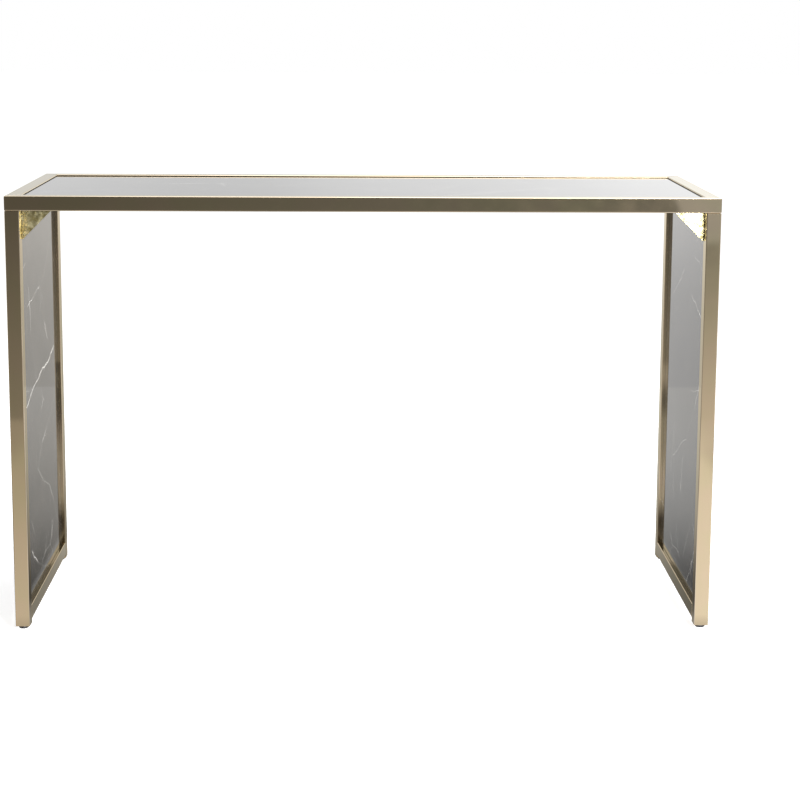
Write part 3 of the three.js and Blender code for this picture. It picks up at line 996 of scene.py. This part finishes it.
# pairs of colours are left and right, in linear light
mirroredFloorLook = {
    "drop": 0.25 * mm,
    "front": ((0.61, 0.61, 0.61), (1.0, 1.03, 1.12)),        # at the table's front
    "flag": ((0.37, 0.37, 0.36), (0.76, 0.765, 0.81)),       # at the flag's foot
    "across": (-0.75, 0.75),         # x of left and right
    "forward": (-0.25, -2.0),        # y of the table's front and of the flag
    "patch": 1.1,                    # patches of light and dark to the metre
    "patchEnds": (0.38, 0.62),
    "patchLevel": (0.3, 1.15),
    "legs": 0.67,                    # x round which there are no patches
    "legsFade": (0.15, 0.3),
    "behind": ((0.0, 0.055), (0.06, 0.155), (0.116, 0.38), (0.2, 0.60), (0.307, 0.74),
               (0.45, 0.82), (1.0, 1.0)),
    "behindReach": (-0.25, 5.0),     # where the curve above starts and ends, behind the table
    "behindColors": ((0.83, 0.80, 0.74), (1.10, 1.09, 1.06)),
    "sideways": (-0.45, 0.45),       # x of left and right there
    "besideRails": (0.25, 0.10),     # extra light on the floor right beside the bottom rails
    "railsSide": (0.555, 0.565),     # x where it starts and is full
    "turnover": (-0.31, -0.12),      # y where the front gives way to what lies behind
}


def addMirroredFloor():
    look = mirroredFloorLook
    material, tree, glow = newMaterial("mirrored floor", "ShaderNodeEmission")
    place = addNode(tree, "ShaderNodeTexCoord").outputs["Object"]
    x, y, z = addNode(tree, "ShaderNodeSeparateXYZ", {0: place}).outputs
    across, forward, sideways, away, isBehind = [
        addNode(tree, "ShaderNodeMapRange", {"Value": value, fromEnds: look[key]}).outputs[0]
        for value, key in ((x, "across"), (y, "forward"), (x, "sideways"), (y, "behindReach"),
                           (y, "turnover"))]
    atFront, atFlag, behind = [
        addNode(tree, "ShaderNodeMix", {"Factor": factor, "A": left, "B": right},
                data_type="RGBA").outputs["Result"]
        for factor, (left, right) in ((across, opaque(look["front"])), (across, opaque(look["flag"])),
                                      (sideways, opaque(look["behindColors"])))]
    front = addNode(tree, "ShaderNodeMix", {"Factor": forward, "A": atFront, "B": atFlag},
                    data_type="RGBA").outputs["Result"]
    # patches of light and dark away from the two legs, as in a real room
    patches = addNode(tree, "ShaderNodeTexNoise", {
        "Vector": place, "Scale": look["patch"], "Detail": 1.0})
    patchLevel = addNode(tree, "ShaderNodeMapRange", {
        "Value": patches.outputs["Fac"], fromEnds: look["patchEnds"],
        toEnds: look["patchLevel"]}).outputs[0]
    aside = addNode(tree, "ShaderNodeMath", {0: x}, operation="ABSOLUTE").outputs[0]
    fromLegs = addNode(tree, "ShaderNodeMath", {0: aside, 1: look["legs"]}, operation="SUBTRACT")
    fromLegs = addNode(tree, "ShaderNodeMath", {0: fromLegs.outputs[0]}, operation="ABSOLUTE")
    patchy = addNode(tree, "ShaderNodeMapRange", {
        "Value": fromLegs.outputs[0], fromEnds: look["legsFade"]}).outputs[0]
    patched = addNode(tree, "ShaderNodeMix", {"Factor": patchy, "A": 1.0, "B": patchLevel}).outputs[0]
    front = addNode(tree, "ShaderNodeVectorMath", {0: front, "Scale": patched},
                    operation="SCALE").outputs[0]
    # behind the table: dim under the top, then up to the bright sweep
    shade = addNode(tree, "ShaderNodeFloatCurve", {"Value": away})
    fillCurve(shade, look["behind"])
    behind = addNode(tree, "ShaderNodeVectorMath", {0: behind, "Scale": shade.outputs[0]},
                     operation="SCALE").outputs[0]
    extra = addNode(tree, "ShaderNodeMapRange", {"Value": sideways, toEnds: look["besideRails"]})
    beside = addNode(tree, "ShaderNodeMapRange", {
        "Value": aside, fromEnds: look["railsSide"], "To Max": extra.outputs[0]}).outputs[0]
    behind = addNode(tree, "ShaderNodeVectorMath", {0: behind, 1: beside}, operation="ADD").outputs[0]
    whole = addNode(tree, "ShaderNodeMix", {"Factor": isBehind, "A": front, "B": behind},
                    data_type="RGBA")
    tree.links.new(whole.outputs["Result"], glow.inputs["Color"])
    onlyMirrored(addSheet("mirroredFloor", levelCorners(floorLook["half"], -look["drop"]), material))


# an upright card behind the table
lowCardLook = {
    "place": 2.0,
    "high": 0.6,
    "shade": ((0.0, 0.50), (0.2, 0.53), (0.5, 0.61), (0.8, 0.76), (1.0, 0.86)),   # foot to top
    "level": 1.4,                    # times the brightness above
    "colors": ((0.90, 0.865, 0.80), (1.08, 1.07, 1.05)),
    "sideways": (-0.22, 0.22),       # x of left and right
}


def addLowCard():
    look = lowCardLook
    material, tree, glow = newMaterial("low reflector card", "ShaderNodeEmission")
    place = addNode(tree, "ShaderNodeTexCoord").outputs["Object"]
    x, y, z = addNode(tree, "ShaderNodeSeparateXYZ", {0: place}).outputs
    up = addNode(tree, "ShaderNodeMapRange", {"Value": z, "From Max": look["high"]}).outputs[0]
    shade = addNode(tree, "ShaderNodeFloatCurve", {"Value": up})
    fillCurve(shade, look["shade"])
    sideways = addNode(tree, "ShaderNodeMapRange", {"Value": x, fromEnds: look["sideways"]}).outputs[0]
    left, right = opaque(look["colors"])
    color = addNode(tree, "ShaderNodeMix", {"Factor": sideways, "A": left, "B": right},
                    data_type="RGBA").outputs["Result"]
    color = addNode(tree, "ShaderNodeVectorMath", {0: color, "Scale": shade.outputs[0]},
                    operation="SCALE").outputs[0]
    glow.inputs["Strength"].default_value = look["level"]
    tree.links.new(color, glow.inputs["Color"])
    corners = uprightCorners(floorLook["half"], look["place"], look["high"])
    onlyMirrored(addSheet("lowCard", corners, material))


flagLook = {
    "place": -2.0,
    "high": 2.4,
    "half": 6.0,
    "foot": ((0.22, 0.22, 0.215), (0.62, 0.63, 0.65)),
    "top": ((0.10, 0.10, 0.10), (0.176, 0.195, 0.21)),
    "across": (-1.0, 1.0),           # x of left and right
    "step": 0.57,                    # height at which the colours of the top are reached
    "slant": (0.46, 1.094),          # its right end leans: x + first * z = second
    "beyond": (0.375, 0.412, 0.465),     # a grey card past that end
    "beyondFoot": 0.477,             # height of that card's lower edge
    "edge": 0.008,                   # half the width over which the one gives way to the other
}


def addFlag():
    look = flagLook
    material, tree, glow = newMaterial("black flag", "ShaderNodeEmission")
    place = addNode(tree, "ShaderNodeTexCoord").outputs["Object"]
    x, y, z = addNode(tree, "ShaderNodeSeparateXYZ", {0: place}).outputs
    lean, line = look["slant"]
    slant = addNode(tree, "ShaderNodeMath", {0: z, 1: lean, 2: x}, operation="MULTIPLY_ADD").outputs[0]
    edge, foot = look["edge"], look["beyondFoot"]
    across, up, past, above = [
        addNode(tree, "ShaderNodeMapRange", {"Value": value, fromEnds: ends}).outputs[0]
        for value, ends in ((x, look["across"]), (z, (0.0, look["step"])),
                            (slant, (line - edge, line + edge)), (z, (foot - edge, foot + edge)))]
    beyond = addNode(tree, "ShaderNodeMath", {0: past, 1: above}, operation="MINIMUM").outputs[0]
    foot, top = [
        addNode(tree, "ShaderNodeMix", {"Factor": across, "A": left, "B": right},
                data_type="RGBA").outputs["Result"]
        for left, right in (opaque(look["foot"]), opaque(look["top"]))]
    level = addNode(tree, "ShaderNodeMix", {"Factor": up, "A": foot, "B": top},
                    data_type="RGBA").outputs["Result"]
    whole = addNode(tree, "ShaderNodeMix", {
        "Factor": beyond, "A": level, "B": (*look["beyond"], 1.0)}, data_type="RGBA")
    tree.links.new(whole.outputs["Result"], glow.inputs["Color"])
    corners = uprightCorners(look["half"], look["place"], look["high"])
    onlyMirrored(addSheet("blackFlag", corners, material))


worldLook = {
    "band": ((0.0, 0.70), (0.09, 0.69), (0.35, 0.64), (0.5, 0.74), (0.7, 0.83), (0.91, 0.98),
             (1.0, 1.0)),            # brightness from left to right
    "bandLevel": 1.4,                # times the brightness above
    "bandWidth": 0.2,                # direction's x over which it changes
    "bandTop": (0.18, 0.26),         # direction's z where the band starts to end, and ends
    "ceiling": 0.3,
}


def addWorld():
    # a bright band round the horizon for the polished faces, plain white for the camera
    world = bpy.data.worlds.new("studio")
    world.use_nodes = True
    tree = world.node_tree
    direction = addNode(tree, "ShaderNodeTexCoord").outputs["Generated"]
    x, y, z = addNode(tree, "ShaderNodeSeparateXYZ", {0: direction}).outputs
    width = worldLook["bandWidth"]
    across = addNode(tree, "ShaderNodeMapRange", {"Value": x, fromEnds: (-width, width)})
    shade = addNode(tree, "ShaderNodeFloatCurve", {"Value": across.outputs[0]})
    fillCurve(shade, worldLook["band"])
    band = addNode(tree, "ShaderNodeMath", {0: shade.outputs[0], 1: worldLook["bandLevel"]},
                   operation="MULTIPLY").outputs[0]
    up = addNode(tree, "ShaderNodeMapRange", {"Value": z, fromEnds: worldLook["bandTop"]}).outputs[0]
    level = addNode(tree, "ShaderNodeMix", {
        "Factor": up, "A": band, "B": worldLook["ceiling"]}).outputs[0]
    isSeen = addNode(tree, "ShaderNodeLightPath").outputs["Is Camera Ray"]
    shown = addNode(tree, "ShaderNodeMix", {"Factor": isSeen, "A": level, "B": 1.0}).outputs[0]
    tree.links.new(shown, tree.nodes["Background"].inputs["Color"])
    bpy.context.scene.world = world


softboxes = {
    "overhead": {"place": (0.5, 0.3, 2.6), "aim": (0.1, 0, 0), "size": (3.4, 2.4), "watts": 75},
    "frontRight": {"place": (2.2, -2.6, 2.1), "aim": (0.5, 0, 0.6), "size": (1.4, 1.4), "watts": 60},
    "frontLeft": {"place": (-2.4, -2.4, 2.1), "aim": (-0.5, 0, 0.6), "size": (1.2, 1.2), "watts": 12},
    "bracket": {"place": (1.2, -3.2, 1.15), "aim": (0.55, -0.2, 0.7), "size": (1.2, 0.7), "watts": 340},
}


def addLights():
    for name, box in softboxes.items():
        data = bpy.data.lights.new(name, "AREA")
        data.shape = "RECTANGLE"
        data.size, data.size_y = box["size"]
        data.energy = box["watts"]
        light = newObject(name, data)
        light.location = box["place"]
        toward = Vector(box["aim"]) - Vector(box["place"])
        light.rotation_euler = toward.to_track_quat("-Z", "Y").to_euler()


addCamera()
addFloor()
addMirroredFloor()
addLowCard()
addFlag()
addWorld()
addLights()
bpy.context.scene.view_settings.view_transform = "Standard"
